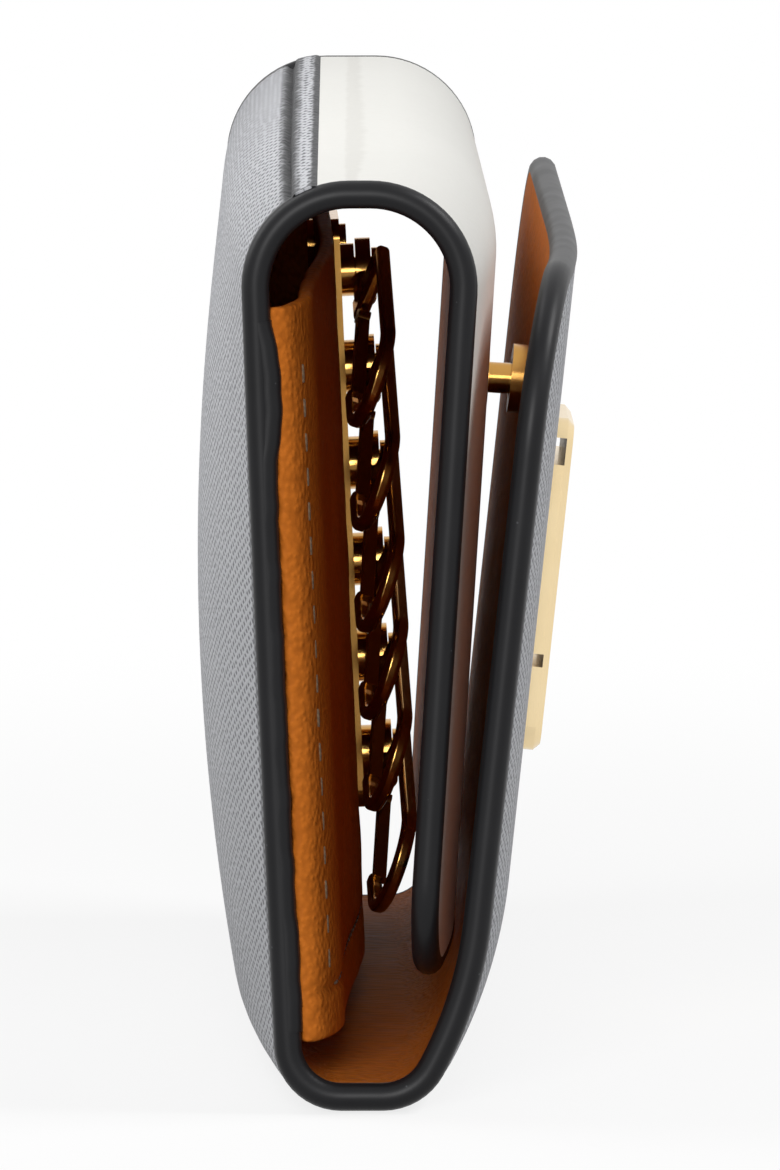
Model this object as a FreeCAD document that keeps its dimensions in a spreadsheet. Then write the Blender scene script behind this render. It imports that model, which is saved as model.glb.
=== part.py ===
"""Three-fold leather key case that stands on its lower fold.

Frame: +X towards the clasp, +Y along the folds, +Z up. The origin is in the
middle of the resting face.
"""
import FreeCAD, Part
import math
import os

import Sketcher
from FreeCAD import Placement, Rotation, Vector

# Driving dimensions, in millimetres and degrees
SIZES = {
    # the folded strip, seen from its open end
    "half_length": 55.0,
    "case_height": 70.0,
    "head_bulge": 0.9,
    "foot_bulge": 2.7,
    "back_barrel": 2.3,
    "front_bulge": 2.5,
    "back_lean_offset": 2.48,
    "back_bend_radius": 5.0,
    "base_back_width": 0.9,
    "base_hinge_offset": 0.4,
    "base_trim": 0.05,
    "top_bend_radius": 8.0,
    "top_half_flat": 0.7,
    "seam_near_offset": 2.8,
    "seam_far_offset": 0.9,
    "inner_flap_lean_offset": 3.3,
    "inner_flap_tip_height": 9.3,
    "inner_flap_corner_radius": 8.0,
    "base_front_width": 2.0,
    "front_bend_radius": 5.1,
    "front_sweep_radius": 32.0,
    "front_sweep_start": 28.0,
    "flap_lean": 6.1,
    "flap_tip_drop": 7.2,
    "flap_corner_radius": 13.0,
    # the layers of the wall, from the outside in
    "leather_thickness": 0.9,
    "interlining_thickness": 0.3,
    "lining_thickness": 0.8,
    "edge_coat": 0.8,
    "hinge_gap": 0.1,
    # slip pocket on the back panel
    "pocket_thickness": 1.2,
    "pocket_rise": 4.4,
    "pocket_foot": 0.2,
    "pocket_top_drop": 14.5,
    "pocket_height": "=case_height - pocket_top_drop",
    "pocket_near_tab": 2.0,
    "pocket_near_ramp": 9.0,
    "pocket_near_round": 28.0,
    "pocket_far_tab": 2.2,
    "pocket_far_ramp": 10.0,
    "pocket_far_round": 8.0,
    # key hooks and the bar that carries them
    "hook_row_lift": 2.65,
    "hook_row_centre": "=pocket_foot + pocket_height / 2 + hook_row_lift",
    "bar_thickness": 0.8,
    "bar_half_width": 5.0,
    "bar_end_inset": 4.25,
    "bar_half_length": "=pocket_height / 2 - bar_end_inset",
    "hook_end_margin": 4.25,
    "hook_pitch": "=(bar_half_length - hook_end_margin) * 2 / 5",
    "bar_corner_radius": 1.5,
    "bar_centre_from_end": 21.0,
    "post_row_offset": 2.0,
    "post_foot_radius": 2.1,
    "post_foot_height": 1.1,
    "post_pin_radius": 1.0,
    "post_head_radius": 1.7,
    "post_head_height": 0.6,
    "pivot_clearance": 0.05,
    "stack_clearance": 0.1,
    "rivet_row_offset": 2.6,
    "rivet_end_margin": 2.5,
    "rivet_radius": 0.9,
    "rivet_head_radius": 1.5,
    "rivet_head_height": 0.6,
    "washer_radius": 2.0,
    "washer_thickness": 0.5,
    "hook_base_radius": 2.5,
    "hook_base_thickness": 1.2,
    "hook_neck_radius": 0.9,
    "hook_neck_start": 2.3,
    "hook_head_start": 4.0,
    "hook_head_length": 3.0,
    "hook_head_half_width": 1.6,
    "hook_wire_width": 1.05,
    "hook_wire_thickness": 1.15,
    "hook_half_width": 4.4,
    "hook_bow_centre": 20.5,
    "hook_nose_length": 4.0,
    "hook_edge_round": 0.4,
    "hook_roll": 22.0,
    "gate_thickness": 0.6,
    "gate_depth": 1.0,
    "gate_root_gap": 0.25,
    "gate_root_offset": 0.8,
    "gate_nose_gap": 0.15,
    "gate_nose_overlap": 2.0,
    # clasp plate and the snap behind it
    "clasp_half_height": 13.0,
    "clasp_half_width": 7.0,
    "clasp_thickness": 1.8,
    "clasp_corner_radius": 2.0,
    "clasp_bevel": 0.5,
    "clasp_drop": 28.6,
    "clasp_notch_depth": 1.3,
    "clasp_upper_notch": 2.1,
    "clasp_upper_notch_drop": 1.4,
    "clasp_lower_notch": 1.0,
    "clasp_lower_notch_rise": 6.7,
    "clasp_rivet_radius": 1.0,
    "clasp_rivet_spacing": 14.0,
    "backing_margin": 3.0,
    "backing_thickness": 0.2,
    "backing_clearance": 0.1,
    "snap_above_backing": 5.5,
    "snap_disc_radius": 2.3,
    "snap_disc_thickness": 0.5,
    "snap_stud_radius": 1.2,
    "snap_end_gap": 0.7,
    "socket_radius": 2.7,
    "socket_height": 1.3,
    "socket_bore_clearance": 0.4,
    "eyelet_radius": 0.8,
    "eyelet_flange_thickness": 0.3,
    "cap_radius": 2.4,
    "cap_thickness": 0.5,
    "seat_gap": 0.05,
}
HOOK_DROOPS = [18.0, 19.5, 20.5, 18.0, 16.5, 17.5]
BULGE_STATIONS = [-1.0, -0.8, -0.4, 0.0, 0.4, 0.8, 1.0]
BACK_BULGE_POWER = 2
FRONT_BULGE_POWER = 3

doc = FreeCAD.newDocument("key_case")
sheet = doc.addObject("Spreadsheet::Sheet", "sizes")
for row, (alias, value) in enumerate(SIZES.items(), start=1):
    sheet.set(f"A{row}", alias)
    sheet.set(f"B{row}", str(value))
    sheet.setAlias(f"B{row}", alias)
doc.recompute()

NODES = []


def size(alias):
    """A driving dimension, read from the sheet."""
    return float(sheet.get(alias))


def bind(thing, **expressions):
    """Tie an object's properties to cells of the sheet."""
    for prop, expression in expressions.items():
        words = expression.split()
        tied = [f"<<sizes>>.{w}" if w in SIZES else w for w in words]
        thing.setExpression(prop, " ".join(tied))


def node(thing, label):
    """Give an object the name that its file takes."""
    thing.Label = label
    NODES.append(thing)
    return thing


def solid_node(label, shape):
    """A sub-part whose shape is worked out in code."""
    thing = doc.addObject("Part::Feature", label)
    thing.Shape = shape
    return node(thing, label)


def group_node(label, things, placement=None):
    """A sub-part made of one or more solids that share a node."""
    thing = doc.addObject("Part::Compound", label)
    thing.Links = things
    if placement is not None:
        thing.Placement = placement
    return node(thing, label)


# The folded strip

half_length = size("half_length")
wall = size("leather_thickness") + size("interlining_thickness") + size("lining_thickness")
leather_depth = size("leather_thickness")
board_depth = leather_depth + size("interlining_thickness")
near_end_y = -half_length

# The panels lean by a fixed amount from fold to fold
back_straight = size("case_height") - size("back_bend_radius") - size("top_bend_radius")
inner_straight = size("case_height") - size("top_bend_radius") - size("inner_flap_tip_height")
inner_flap_lean = math.degrees(math.atan(size("inner_flap_lean_offset") / inner_straight))

# Heights of the outer flap's tip, the clasp plate and the snap
flap_tip = size("case_height") - size("flap_tip_drop")
clasp_height = flap_tip - size("clasp_drop")
snap_height = clasp_height + size("clasp_half_height") - size("backing_margin") + size("snap_above_backing")


def back_share_at(y):
    """How much of its bulge the back has at a place along the case."""
    return 1 - abs(y / half_length) ** BACK_BULGE_POWER


def back_lean_at(y):
    """Lean of the back's chord, whose head and foot stand out by their own bulges."""
    extra = (size("head_bulge") - size("foot_bulge")) * back_share_at(y)
    return math.degrees(math.asin((size("back_lean_offset") + extra) / back_straight))


def back_curve_at(y):
    """Degrees between the back's chord and its barrel-shaped line at its foot and head."""
    return math.degrees(4 * size("back_barrel") * back_share_at(y) / back_straight)


def front_bulge_at(y):
    """How far the two flaps stand out, which stay open from the middle to the far end."""
    return size("front_bulge") * (1 - max(0, -y / half_length) ** FRONT_BULGE_POWER)


def heading(degrees):
    """Unit vector in the XZ plane, 0 along +X and 90 along +Z."""
    return Vector(math.cos(math.radians(degrees)), 0, math.sin(math.radians(degrees)))


def trace(start, angle, steps, inward):
    """Follow straight and round steps, and give each as its outer points and inward normals.

    A step is (length,) or (radius, turn). inward is +90 or -90, the side of the
    path that the wall's thickness lies on.
    """
    runs = []
    at = start
    for step in steps:
        if len(step) == 1:
            end = at + heading(angle) * step[0]
            runs.append([(at, heading(angle + inward)), (end, heading(angle + inward))])
        else:
            radius, turn = step
            side = math.copysign(90, turn)
            centre = at + heading(angle + side) * radius
            stops = [angle, angle + turn / 2, angle + turn]
            runs.append([(centre - heading(a + side) * radius, heading(a + inward)) for a in stops])
            angle += turn
        at = runs[-1][-1][0]
    return runs


def back_steps(y):
    """From the lower hinge line, up the back, to the end of the top bend."""
    lean, curve = back_lean_at(y), back_curve_at(y)
    lower, upper = size("back_bend_radius"), size("top_bend_radius")
    rise = size("case_height") + size("base_trim") - lower * (1 - math.sin(math.radians(lean + curve)))
    rise -= upper * (1 + math.sin(math.radians(lean - curve)))
    chord = rise / math.cos(math.radians(lean))
    panel = (chord,)
    if curve > 0:
        panel = (chord / 2 / math.sin(math.radians(curve)), -2 * curve)
    return [
        (size("base_back_width") + size("base_hinge_offset") + size("foot_bulge") * back_share_at(y),),
        (lower, lean + curve - 90),
        panel,
        (upper, curve - lean - 90),
    ]


def back_path(y):
    """From the lower hinge line, up the back, to the upper hinge line."""
    steps = back_steps(y)
    bend_end = trace(base_start, 180, steps, -90)[-1][-1][0]
    return trace(base_start, 180, steps + [(top_hinge.x - bend_end.x,)], -90)


# The strip is folded a little below the resting plane and trimmed flat to it
base_start = Vector(size("base_hinge_offset"), 0, -size("base_trim"))
top_hinge = trace(base_start, 180, back_steps(near_end_y), -90)[-1][-1][0]
top_hinge = top_hinge + Vector(size("top_half_flat"), 0, 0)
hinge_gap = Vector(size("hinge_gap"), 0, 0)


def inner_flap_path(y):
    """From the upper hinge line, down the front, to the inner flap's tip."""
    lean = math.radians(inner_flap_lean)
    radius = size("top_bend_radius")
    drop = size("case_height") - radius * (1 + math.sin(lean)) - size("inner_flap_tip_height")
    steps = [
        (size("top_half_flat") - hinge_gap.x + front_bulge_at(y),),
        (radius, -90 - inner_flap_lean),
        (drop / math.cos(lean),),
    ]
    return trace(top_hinge + hinge_gap, 0, steps, -90)


def outer_flap_path(y):
    """From the lower hinge line, up the front, to the outer flap's tip."""
    start, lean = size("front_sweep_start"), size("flap_lean")
    bend, sweep = size("front_bend_radius"), size("front_sweep_radius")
    risen = bend * (1 - math.sin(math.radians(start)))
    risen += sweep * (math.sin(math.radians(start)) - math.sin(math.radians(lean)))
    steps = [
        (size("base_front_width") - base_start.x - hinge_gap.x + front_bulge_at(y),),
        (bend, 90 - start),
        (sweep, start - lean),
        ((flap_tip + size("base_trim") - risen) / math.cos(math.radians(lean)),),
    ]
    return trace(base_start + hinge_gap, 0, steps, 90)


def chain(runs, depth, y):
    """The path's edges at one depth into the wall."""
    edges = []
    for run in runs:
        points = [p + n * depth + Vector(0, y, 0) for p, n in run]
        if len(points) == 2:
            edges.append(Part.LineSegment(*points).toShape())
        else:
            edges.append(Part.Arc(*points).toShape())
    return edges


def section(runs, outer, inner, y):
    """Closed outline of the wall between two depths."""
    near, far = chain(runs, outer, y), chain(runs, inner, y)
    start = Part.LineSegment(far[0].firstVertex().Point, near[0].firstVertex().Point)
    end = Part.LineSegment(near[-1].lastVertex().Point, far[-1].lastVertex().Point)
    edges = near + far + [start.toShape(), end.toShape()]
    return Part.Wire(Part.__sortEdges__(edges))


def shell(path, outer, inner):
    """A layer of the wall along the whole case."""
    wires = []
    for station in BULGE_STATIONS:
        y = station * half_length
        wires.append(section(path(y), outer, inner, y))
    return Part.makeLoft(wires, True, False)


def outline_block(low, high, inset, corner, corner_side):
    """A block along X whose YZ outline has its two corners at one end rounded."""
    reach = size("case_height")
    side = half_length - inset
    tip = high - inset if corner_side > 0 else low + inset
    root = low if corner_side > 0 else high
    radius = corner - inset
    turn = tip - corner_side * radius
    slant = radius * (1 - math.sqrt(0.5))

    def point(y, z):
        return Vector(-reach, y, z)

    edges = [
        Part.LineSegment(point(-side, turn), point(-side, root)),
        Part.LineSegment(point(-side, root), point(side, root)),
        Part.LineSegment(point(side, root), point(side, turn)),
        Part.Arc(
            point(side, turn),
            point(side - slant, tip - corner_side * slant),
            point(side - radius, tip),
        ),
        Part.LineSegment(point(side - radius, tip), point(radius - side, tip)),
        Part.Arc(
            point(radius - side, tip),
            point(slant - side, tip - corner_side * slant),
            point(-side, turn),
        ),
    ]
    face = Part.Face(Part.Wire([e.toShape() for e in edges]))
    return face.extrude(Vector(2 * reach, 0, 0))


def round_hole(centre, direction, radius):
    """A long cylinder that drills through whatever it crosses."""
    reach = size("case_height") / 4
    return Part.makeCylinder(radius, 2 * reach, centre - direction * reach, direction)


def seat(path, height):
    """The wall's outer point and outward normal on a flap's straight run, half way along."""
    (start, inward), (end, _) = path(0)[-1]
    share = (height - start.z) / (end.z - start.z)
    return start + (end - start) * share, inward * -1


snap_seat, snap_out = seat(inner_flap_path, snap_height)
socket_seat, flap_out = seat(outer_flap_path, snap_height)
clasp_seat, _ = seat(outer_flap_path, clasp_height)
flap_up = flap_out.cross(Vector(0, 1, 0))
lining_gap = (socket_seat - flap_out * wall - snap_seat).dot(flap_out) / snap_out.dot(flap_out)
socket_point = snap_seat + snap_out * lining_gap
rivet_step = size("clasp_rivet_spacing") / 2
clasp_rivet_places = [clasp_seat + flap_up * rivet_step, clasp_seat - flap_up * rivet_step]

case_top = size("case_height")
coat = size("edge_coat")
inside_length = 2 * (half_length - coat)


def upper_block(width, low_x, low_y, low_z):
    """A block that reaches from a low corner past everything in X and Z."""
    return Part.makeBox(4 * case_top, width, 4 * case_top, Vector(low_x, low_y, low_z))


above_floor = upper_block(2 * half_length, -2 * case_top, -half_length, 0)
back_inside = upper_block(inside_length, -2 * case_top, -inside_length / 2, 0)
seam_corners = [
    Vector(-size("seam_near_offset"), -half_length, case_top / 2),
    Vector(-size("seam_far_offset"), half_length, case_top / 2),
    Vector(2 * case_top, half_length, case_top / 2),
    Vector(2 * case_top, -half_length, case_top / 2),
]
seam_face = Part.Face(Part.makePolygon(seam_corners + seam_corners[:1]))
beyond_seam = seam_face.extrude(Vector(0, 0, case_top))
flap_outline = outline_block(
    0, flap_tip, 0, size("flap_corner_radius"), 1)
flap_inside = outline_block(
    0, flap_tip, coat, size("flap_corner_radius"), 1)
inner_outline = outline_block(
    size("inner_flap_tip_height"), 2 * case_top, 0, size("inner_flap_corner_radius"), -1)
inner_inside = outline_block(
    size("inner_flap_tip_height"), 2 * case_top, coat, size("inner_flap_corner_radius"), -1)


def drilled(shape, *holes):
    """A shape less every hole that passes through it."""
    for hole in holes:
        shape = shape.cut(hole)
    return shape


def flap_frame(origin, outward):
    """Placement whose X runs along the case, Y up the flap and Z out of it."""
    up = outward.cross(Vector(0, 1, 0))
    return Placement(origin, Rotation(Vector(0, 1, 0), up, outward, "ZXY"))


clasp_holes = [
    round_hole(place, flap_out, size("clasp_rivet_radius")) for place in clasp_rivet_places]
backing_length = 2 * (size("clasp_half_height") - size("backing_margin"))
backing_width = 2 * (size("clasp_half_width") - size("backing_margin"))


def backing_plate(margin):
    """The plate between leather and lining that the clasp's rivets hold on to."""
    wide, tall = backing_width + 2 * margin, backing_length + 2 * margin
    thick = size("backing_thickness") + 2 * margin
    middle = (leather_depth + board_depth) / 2
    plate = Part.makeBox(wide, tall, thick, Vector(-wide / 2, -tall / 2, -middle - thick / 2))
    plate.Placement = flap_frame(clasp_seat, flap_out)
    return plate


socket_hole = round_hole(socket_point, flap_out, size("eyelet_radius"))
stud_hole = round_hole(snap_seat, snap_out, size("eyelet_radius"))

back_layer = shell(back_path, 0, leather_depth).common(back_inside)
solid_node("back_leather", back_layer.cut(beyond_seam))
solid_node("top_leather", back_layer.common(beyond_seam))
solid_node("back_interlining", shell(back_path, leather_depth, board_depth).common(back_inside))
solid_node("back_lining", shell(back_path, board_depth, wall).common(back_inside))
back_rim = shell(back_path, 0, wall).common(above_floor)
solid_node("back_edge_coat", back_rim.cut(back_inside))

flap_layer = shell(outer_flap_path, 0, leather_depth).common(flap_inside)
solid_node("flap_leather", drilled(flap_layer, *clasp_holes))
flap_layer = shell(outer_flap_path, leather_depth, board_depth).common(flap_inside)
solid_node(
    "flap_interlining",
    drilled(flap_layer, backing_plate(size("backing_clearance")), socket_hole),
)
flap_layer = shell(outer_flap_path, board_depth, wall).common(flap_inside)
solid_node("flap_lining", drilled(flap_layer, socket_hole))
flap_rim = shell(outer_flap_path, 0, wall).common(flap_outline)
solid_node("flap_edge_coat", flap_rim.cut(flap_inside))

flap_layer = shell(inner_flap_path, 0, leather_depth).common(inner_inside)
solid_node("inner_flap_leather", drilled(flap_layer, stud_hole))
flap_layer = shell(inner_flap_path, leather_depth, board_depth).common(inner_inside)
solid_node("inner_flap_interlining", drilled(flap_layer, stud_hole))
flap_layer = shell(inner_flap_path, board_depth, wall).common(inner_inside)
solid_node("inner_flap_lining", drilled(flap_layer, stud_hole))
flap_rim = shell(inner_flap_path, 0, wall).common(inner_outline)
solid_node("inner_flap_edge_coat", flap_rim.cut(inner_inside))


# Building blocks for the metal parts and the pocket

def drum(name, radius, height, base=None):
    """A cylinder along Z, its radius and height tied to the sheet."""
    thing = doc.addObject("Part::Cylinder", name)
    bind(thing, Radius=radius, Height=height)
    if base is not None:
        thing.Placement.Base = base
    return thing


def fused(name, things):
    thing = doc.addObject("Part::MultiFuse", name)
    thing.Shapes = things
    return thing


def less(name, base, tool):
    thing = doc.addObject("Part::Cut", name)
    thing.Base = base
    thing.Tool = tool
    return thing


def placed(name, thing, placement):
    """One more of a finished solid, somewhere else."""
    again = doc.addObject("Part::Compound", name)
    again.Links = [thing]
    again.Placement = placement
    return again


def new_body(name):
    return doc.addObject("PartDesign::Body", name)


def plane_sketch(body, role, name):
    """An empty sketch on one of the body's own origin planes."""
    sketch = body.newObject("Sketcher::SketchObject", name)
    plane = [f for f in body.Origin.OriginFeatures if f.Role == role][0]
    sketch.AttachmentSupport = (plane, "")
    sketch.MapMode = "FlatFace"
    return sketch


def cell_value(expression):
    """The sum that an expression over the sheet's cells comes to."""
    total, sign = 0.0, 1.0
    for word in expression.split():
        if word in ("+", "-"):
            sign = 1.0 if word == "+" else -1.0
        else:
            total += sign * (size(word) if word in SIZES else float(word))
    return total


def tie_point(sketch, geometry, end, across, up):
    """Hold one end of a sketched line at a place given by two expressions."""
    for kind, expression in (("DistanceX", across), ("DistanceY", up)):
        number = sketch.addConstraint(
            Sketcher.Constraint(kind, -1, 1, geometry, end, cell_value(expression)))
        bind(sketch, **{f"Constraints[{number}]": expression})


def outline_sketch(body, role, name, corners, bows=()):
    """A closed outline through corners given as pairs of expressions.

    bows lists the sides that are half circles about a centre level with their
    corners, as (side, True where the bow runs anticlockwise).
    """
    sketch = plane_sketch(body, role, name)
    points = [Vector(cell_value(a), cell_value(u), 0) for a, u in corners]
    turns = dict(bows)
    ends = []
    for i, point in enumerate(points):
        following = points[(i + 1) % len(points)]
        if i in turns:
            radius = (point - following).Length / 2
            circle = Part.Circle((point + following) * 0.5, Vector(0, 0, 1), radius)
            sketch.addGeometry(Part.ArcOfCircle(circle, -math.pi / 2, math.pi / 2))
            ends.append((1, 2) if turns[i] else (2, 1))
        else:
            sketch.addGeometry(Part.LineSegment(point, following))
            ends.append((1, 2))
    for i in range(len(points)):
        after = (i + 1) % len(points)
        sketch.addConstraint(Sketcher.Constraint("Coincident", i, ends[i][1], after, ends[after][0]))
        tie_point(sketch, i, ends[i][0], *corners[i])
    for i in turns:
        number = sketch.addConstraint(
            Sketcher.Constraint("DistanceX", -1, 1, i, 3, cell_value(corners[i][0])))
        bind(sketch, **{f"Constraints[{number}]": corners[i][0]})
    return sketch


def circles_sketch(body, role, name, circles):
    """Circles given as (across, up, radius) expressions."""
    sketch = plane_sketch(body, role, name)
    for i, (across, up, radius) in enumerate(circles):
        centre = Vector(cell_value(across), cell_value(up), 0)
        sketch.addGeometry(Part.Circle(centre, Vector(0, 0, 1), cell_value(radius)))
        tie_point(sketch, i, 3, across, up)
        number = sketch.addConstraint(Sketcher.Constraint("Radius", i, cell_value(radius)))
        bind(sketch, **{f"Constraints[{number}]": radius})
    return sketch


def pad(body, sketch, length, side="One side"):
    thing = body.newObject("PartDesign::Pad", "pad")
    thing.Profile = sketch
    thing.SideType = side
    bind(thing, Length=length)
    body.Tip = thing
    return thing


def dress(body, kind, alias, wanted):
    """Round or bevel the edges of the body so far whose middle passes a test."""
    doc.recompute()
    base = body.Tip
    names = []
    for number, edge in enumerate(base.Shape.Edges, start=1):
        middle = edge.valueAt((edge.FirstParameter + edge.LastParameter) / 2)
        if wanted(base.Placement.inverse().multVec(middle), edge):
            names.append(f"Edge{number}")
    thing = body.newObject(f"PartDesign::{kind}", kind.lower())
    thing.Base = (base, names)
    bind(thing, **{"Radius" if kind == "Fillet" else "Size": alias})
    body.Tip = thing
    return thing


def through_pocket(body, sketch):
    """Cut a sketch through the whole body, both ways."""
    thing = body.newObject("PartDesign::Pocket", "cut")
    thing.Profile = sketch
    thing.Type = "ThroughAll"
    thing.SideType = "Symmetric"
    body.Tip = thing
    return thing


# Slip pocket and hook bar, in a frame that leans with the back panel:
# X away from the panel, Y along the case, Z up the panel

panel_start, panel_inward = back_path(near_end_y)[2][0]
panel_frame = Placement(
    panel_start + panel_inward * wall,
    Rotation(Vector(0, 1, 0), -back_lean_at(near_end_y)),
)


def on_panel(away, along, up):
    return panel_frame.multVec(Vector(away, along, up))


def facing_panel(place, droop=0.0):
    """Placement whose Z points away from the panel and whose X is a hook's length."""
    away = panel_frame.Rotation.multVec(Vector(1, 0, 0))
    tilt = math.radians(droop)
    along = panel_frame.Rotation.multVec(Vector(0, -math.cos(tilt), -math.sin(tilt)))
    return Placement(place, Rotation(along, away.cross(along), away, "ZXY"))


near_end = "- half_length + edge_coat"
far_end = "half_length - edge_coat"
near_fold = f"{near_end} + pocket_near_tab"
far_fold = f"{far_end} - pocket_far_tab"
near_crest = f"{near_fold} + pocket_near_ramp"
far_crest = f"{far_fold} - pocket_far_ramp"
back_face = [
    ("0", near_end),
    ("0", near_fold),
    ("pocket_rise", near_crest),
    ("pocket_rise", far_crest),
    ("0", far_fold),
    ("0", far_end),
]
front_face = [(f"{away} + pocket_thickness", along) for away, along in reversed(back_face)]

pocket = new_body("pocket_panel")
pad(pocket, outline_sketch(pocket, "XY_Plane", "pocket_outline", back_face + front_face), "pocket_height")
for crest, radius in ((near_crest, "pocket_near_round"), (far_crest, "pocket_far_round")):
    crest_along = cell_value(crest)
    dress(pocket, "Fillet", radius,
          lambda middle, edge: abs(middle.y - crest_along) < 0.01 and middle.x > size("pocket_rise") / 2
          and abs(edge.tangentAt(edge.FirstParameter).z) > 0.9)
rivet_along = "half_length - bar_centre_from_end + rivet_row_offset"
rivet_circles = [
    (rivet_along, "hook_row_centre + bar_half_length - rivet_end_margin - pocket_foot", "rivet_radius"),
    (rivet_along, "hook_row_centre - bar_half_length + rivet_end_margin - pocket_foot", "rivet_radius"),
]
through_pocket(pocket, circles_sketch(pocket, "YZ_Plane", "pocket_rivet_holes", rivet_circles))
pocket.Placement = panel_frame.multiply(Placement(Vector(0, 0, size("pocket_foot")), Rotation()))
node(pocket, "pocket_panel")

pocket_coats = []
for side, along in (("near", -half_length), ("far", half_length - coat)):
    strip = doc.addObject("Part::Box", f"pocket_coat_{side}")
    bind(strip, Length="pocket_thickness", Width="edge_coat", Height="pocket_height")
    strip.Placement = Placement(on_panel(0, along, size("pocket_foot")), panel_frame.Rotation)
    pocket_coats.append(strip)
group_node("pocket_edge_coat", pocket_coats)

bar_away = size("pocket_rise") + size("pocket_thickness")
bar_along = half_length - size("bar_centre_from_end")
row_up = size("hook_row_centre")
bar = new_body("hook_bar")
bar_corners = [
    ("- bar_half_width", "- bar_half_length"),
    ("bar_half_width", "- bar_half_length"),
    ("bar_half_width", "bar_half_length"),
    ("- bar_half_width", "bar_half_length"),
]
pad(bar, outline_sketch(bar, "YZ_Plane", "bar_outline", bar_corners), "bar_thickness")
dress(bar, "Fillet", "bar_corner_radius",
      lambda middle, edge: abs(edge.tangentAt(edge.FirstParameter).x) > 0.9)
bar_holes = [
    ("rivet_row_offset", "bar_half_length - rivet_end_margin", "rivet_radius"),
    ("rivet_row_offset", "- bar_half_length + rivet_end_margin", "rivet_radius"),
]
through_pocket(bar, circles_sketch(bar, "YZ_Plane", "bar_rivet_holes", bar_holes))
bar.Placement = Placement(on_panel(bar_away, bar_along, row_up), panel_frame.Rotation)
node(bar, "hook_bar")

rivet_shank = drum("rivet_shank", "rivet_radius", "washer_thickness + pocket_thickness + bar_thickness")
rivet_head = drum("rivet_head", "rivet_head_radius", "rivet_head_height",
                  Vector(0, 0, cell_value("washer_thickness + pocket_thickness + bar_thickness")))
rivet = fused("rivet", [rivet_shank, rivet_head])
washer = less(
    "washer",
    drum("washer_disc", "washer_radius", "washer_thickness"),
    drum("washer_hole", "rivet_radius", "washer_thickness"),
)
rivets, washers = [], []
for number, end in enumerate((1, -1), start=1):
    up = row_up + end * (size("bar_half_length") - size("rivet_end_margin"))
    place = on_panel(size("pocket_rise") - size("washer_thickness"), bar_along + size("rivet_row_offset"), up)
    rivets.append(placed(f"rivet_{number}", rivet, facing_panel(place)))
    washers.append(placed(f"washer_{number}", washer, facing_panel(place)))
group_node("bar_rivets", rivets)
group_node("bar_washers", washers)

# One post and one hook, with Z along the post and X towards the hook's bow

post_foot = drum("post_foot", "post_foot_radius", "post_foot_height")
post_pin_length = "post_foot_height + stack_clearance + hook_base_thickness + stack_clearance"
post_pin = drum("post_pin", "post_pin_radius", post_pin_length)
post_head = drum("post_head", "post_head_radius", "post_head_height",
                 Vector(0, 0, cell_value(post_pin_length)))
post = fused("post", [post_foot, post_pin, post_head])

hook_plane = cell_value("post_foot_height + stack_clearance") + size("hook_base_thickness") / 2
base_low = Vector(0, 0, -size("hook_base_thickness") / 2)
hook_base = less(
    "hook_base",
    drum("hook_base_disc", "hook_base_radius", "hook_base_thickness", base_low),
    drum("hook_base_hole", "post_pin_radius + pivot_clearance", "hook_base_thickness", base_low),
)
hook_neck = drum("hook_neck", "hook_neck_radius", "hook_head_start - hook_neck_start + hook_head_length / 2")
hook_neck.Placement = Placement(Vector(size("hook_neck_start"), 0, 0), Rotation(Vector(0, 1, 0), 90))

head_end = "hook_head_start + hook_head_length"
inner_edge = "hook_half_width - hook_wire_width"
nose_tip = "hook_bow_centre - hook_nose_length"
blade_corners = [
    ("hook_head_start", "- hook_head_half_width"),
    ("hook_head_start + hook_wire_width", "- hook_half_width"),
    ("hook_bow_centre", "- hook_half_width"),
    ("hook_bow_centre", "hook_half_width"),
    (nose_tip, "hook_half_width"),
    (nose_tip, inner_edge),
    ("hook_bow_centre", inner_edge),
    ("hook_bow_centre", "- hook_half_width + hook_wire_width"),
    (head_end, "- hook_half_width + hook_wire_width"),
    (head_end, "hook_head_half_width"),
    ("hook_head_start", "hook_head_half_width"),
]
blade = new_body("hook_blade")
blade_sketch = outline_sketch(
    blade, "XY_Plane", "blade_outline", blade_corners, bows=[(2, True), (6, False)])
pad(blade, blade_sketch, "hook_wire_thickness", "Symmetric")
dress(blade, "Fillet", "hook_edge_round",
      lambda middle, edge: abs(middle.z) > size("hook_wire_thickness") / 4)
blade_turn = Placement(Vector(0, 0, 0), Rotation(Vector(1, 0, 0), -size("hook_roll")))
blade.Placement = blade_turn
hook = fused("hook", [hook_base, hook_neck, blade])

gate_root = Vector(
    cell_value(head_end) + size("gate_root_gap") + size("gate_thickness"),
    size("gate_root_offset"), 0)
gate_tip = Vector(
    cell_value(nose_tip) + size("gate_nose_overlap"),
    cell_value(inner_edge) - size("gate_nose_gap") - size("gate_thickness") / 2, 0)
gate_angle = math.degrees(math.atan2(gate_tip.y - gate_root.y, gate_tip.x - gate_root.x))
gate_low = Vector(0, 0, -size("gate_depth") / 2)
gate_eye = drum("gate_eye", "gate_thickness", "gate_depth", gate_low)
gate_strip = doc.addObject("Part::Box", "gate_strip")
gate_strip.Length = (gate_tip - gate_root).Length
bind(gate_strip, Width="gate_thickness", Height="gate_depth")
gate_strip.Placement.Base = gate_low - Vector(0, size("gate_thickness") / 2, 0)
gate = fused("gate", [gate_eye, gate_strip])
gate_in_hook = blade_turn.multiply(Placement(gate_root, Rotation(Vector(0, 0, 1), gate_angle)))

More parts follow.
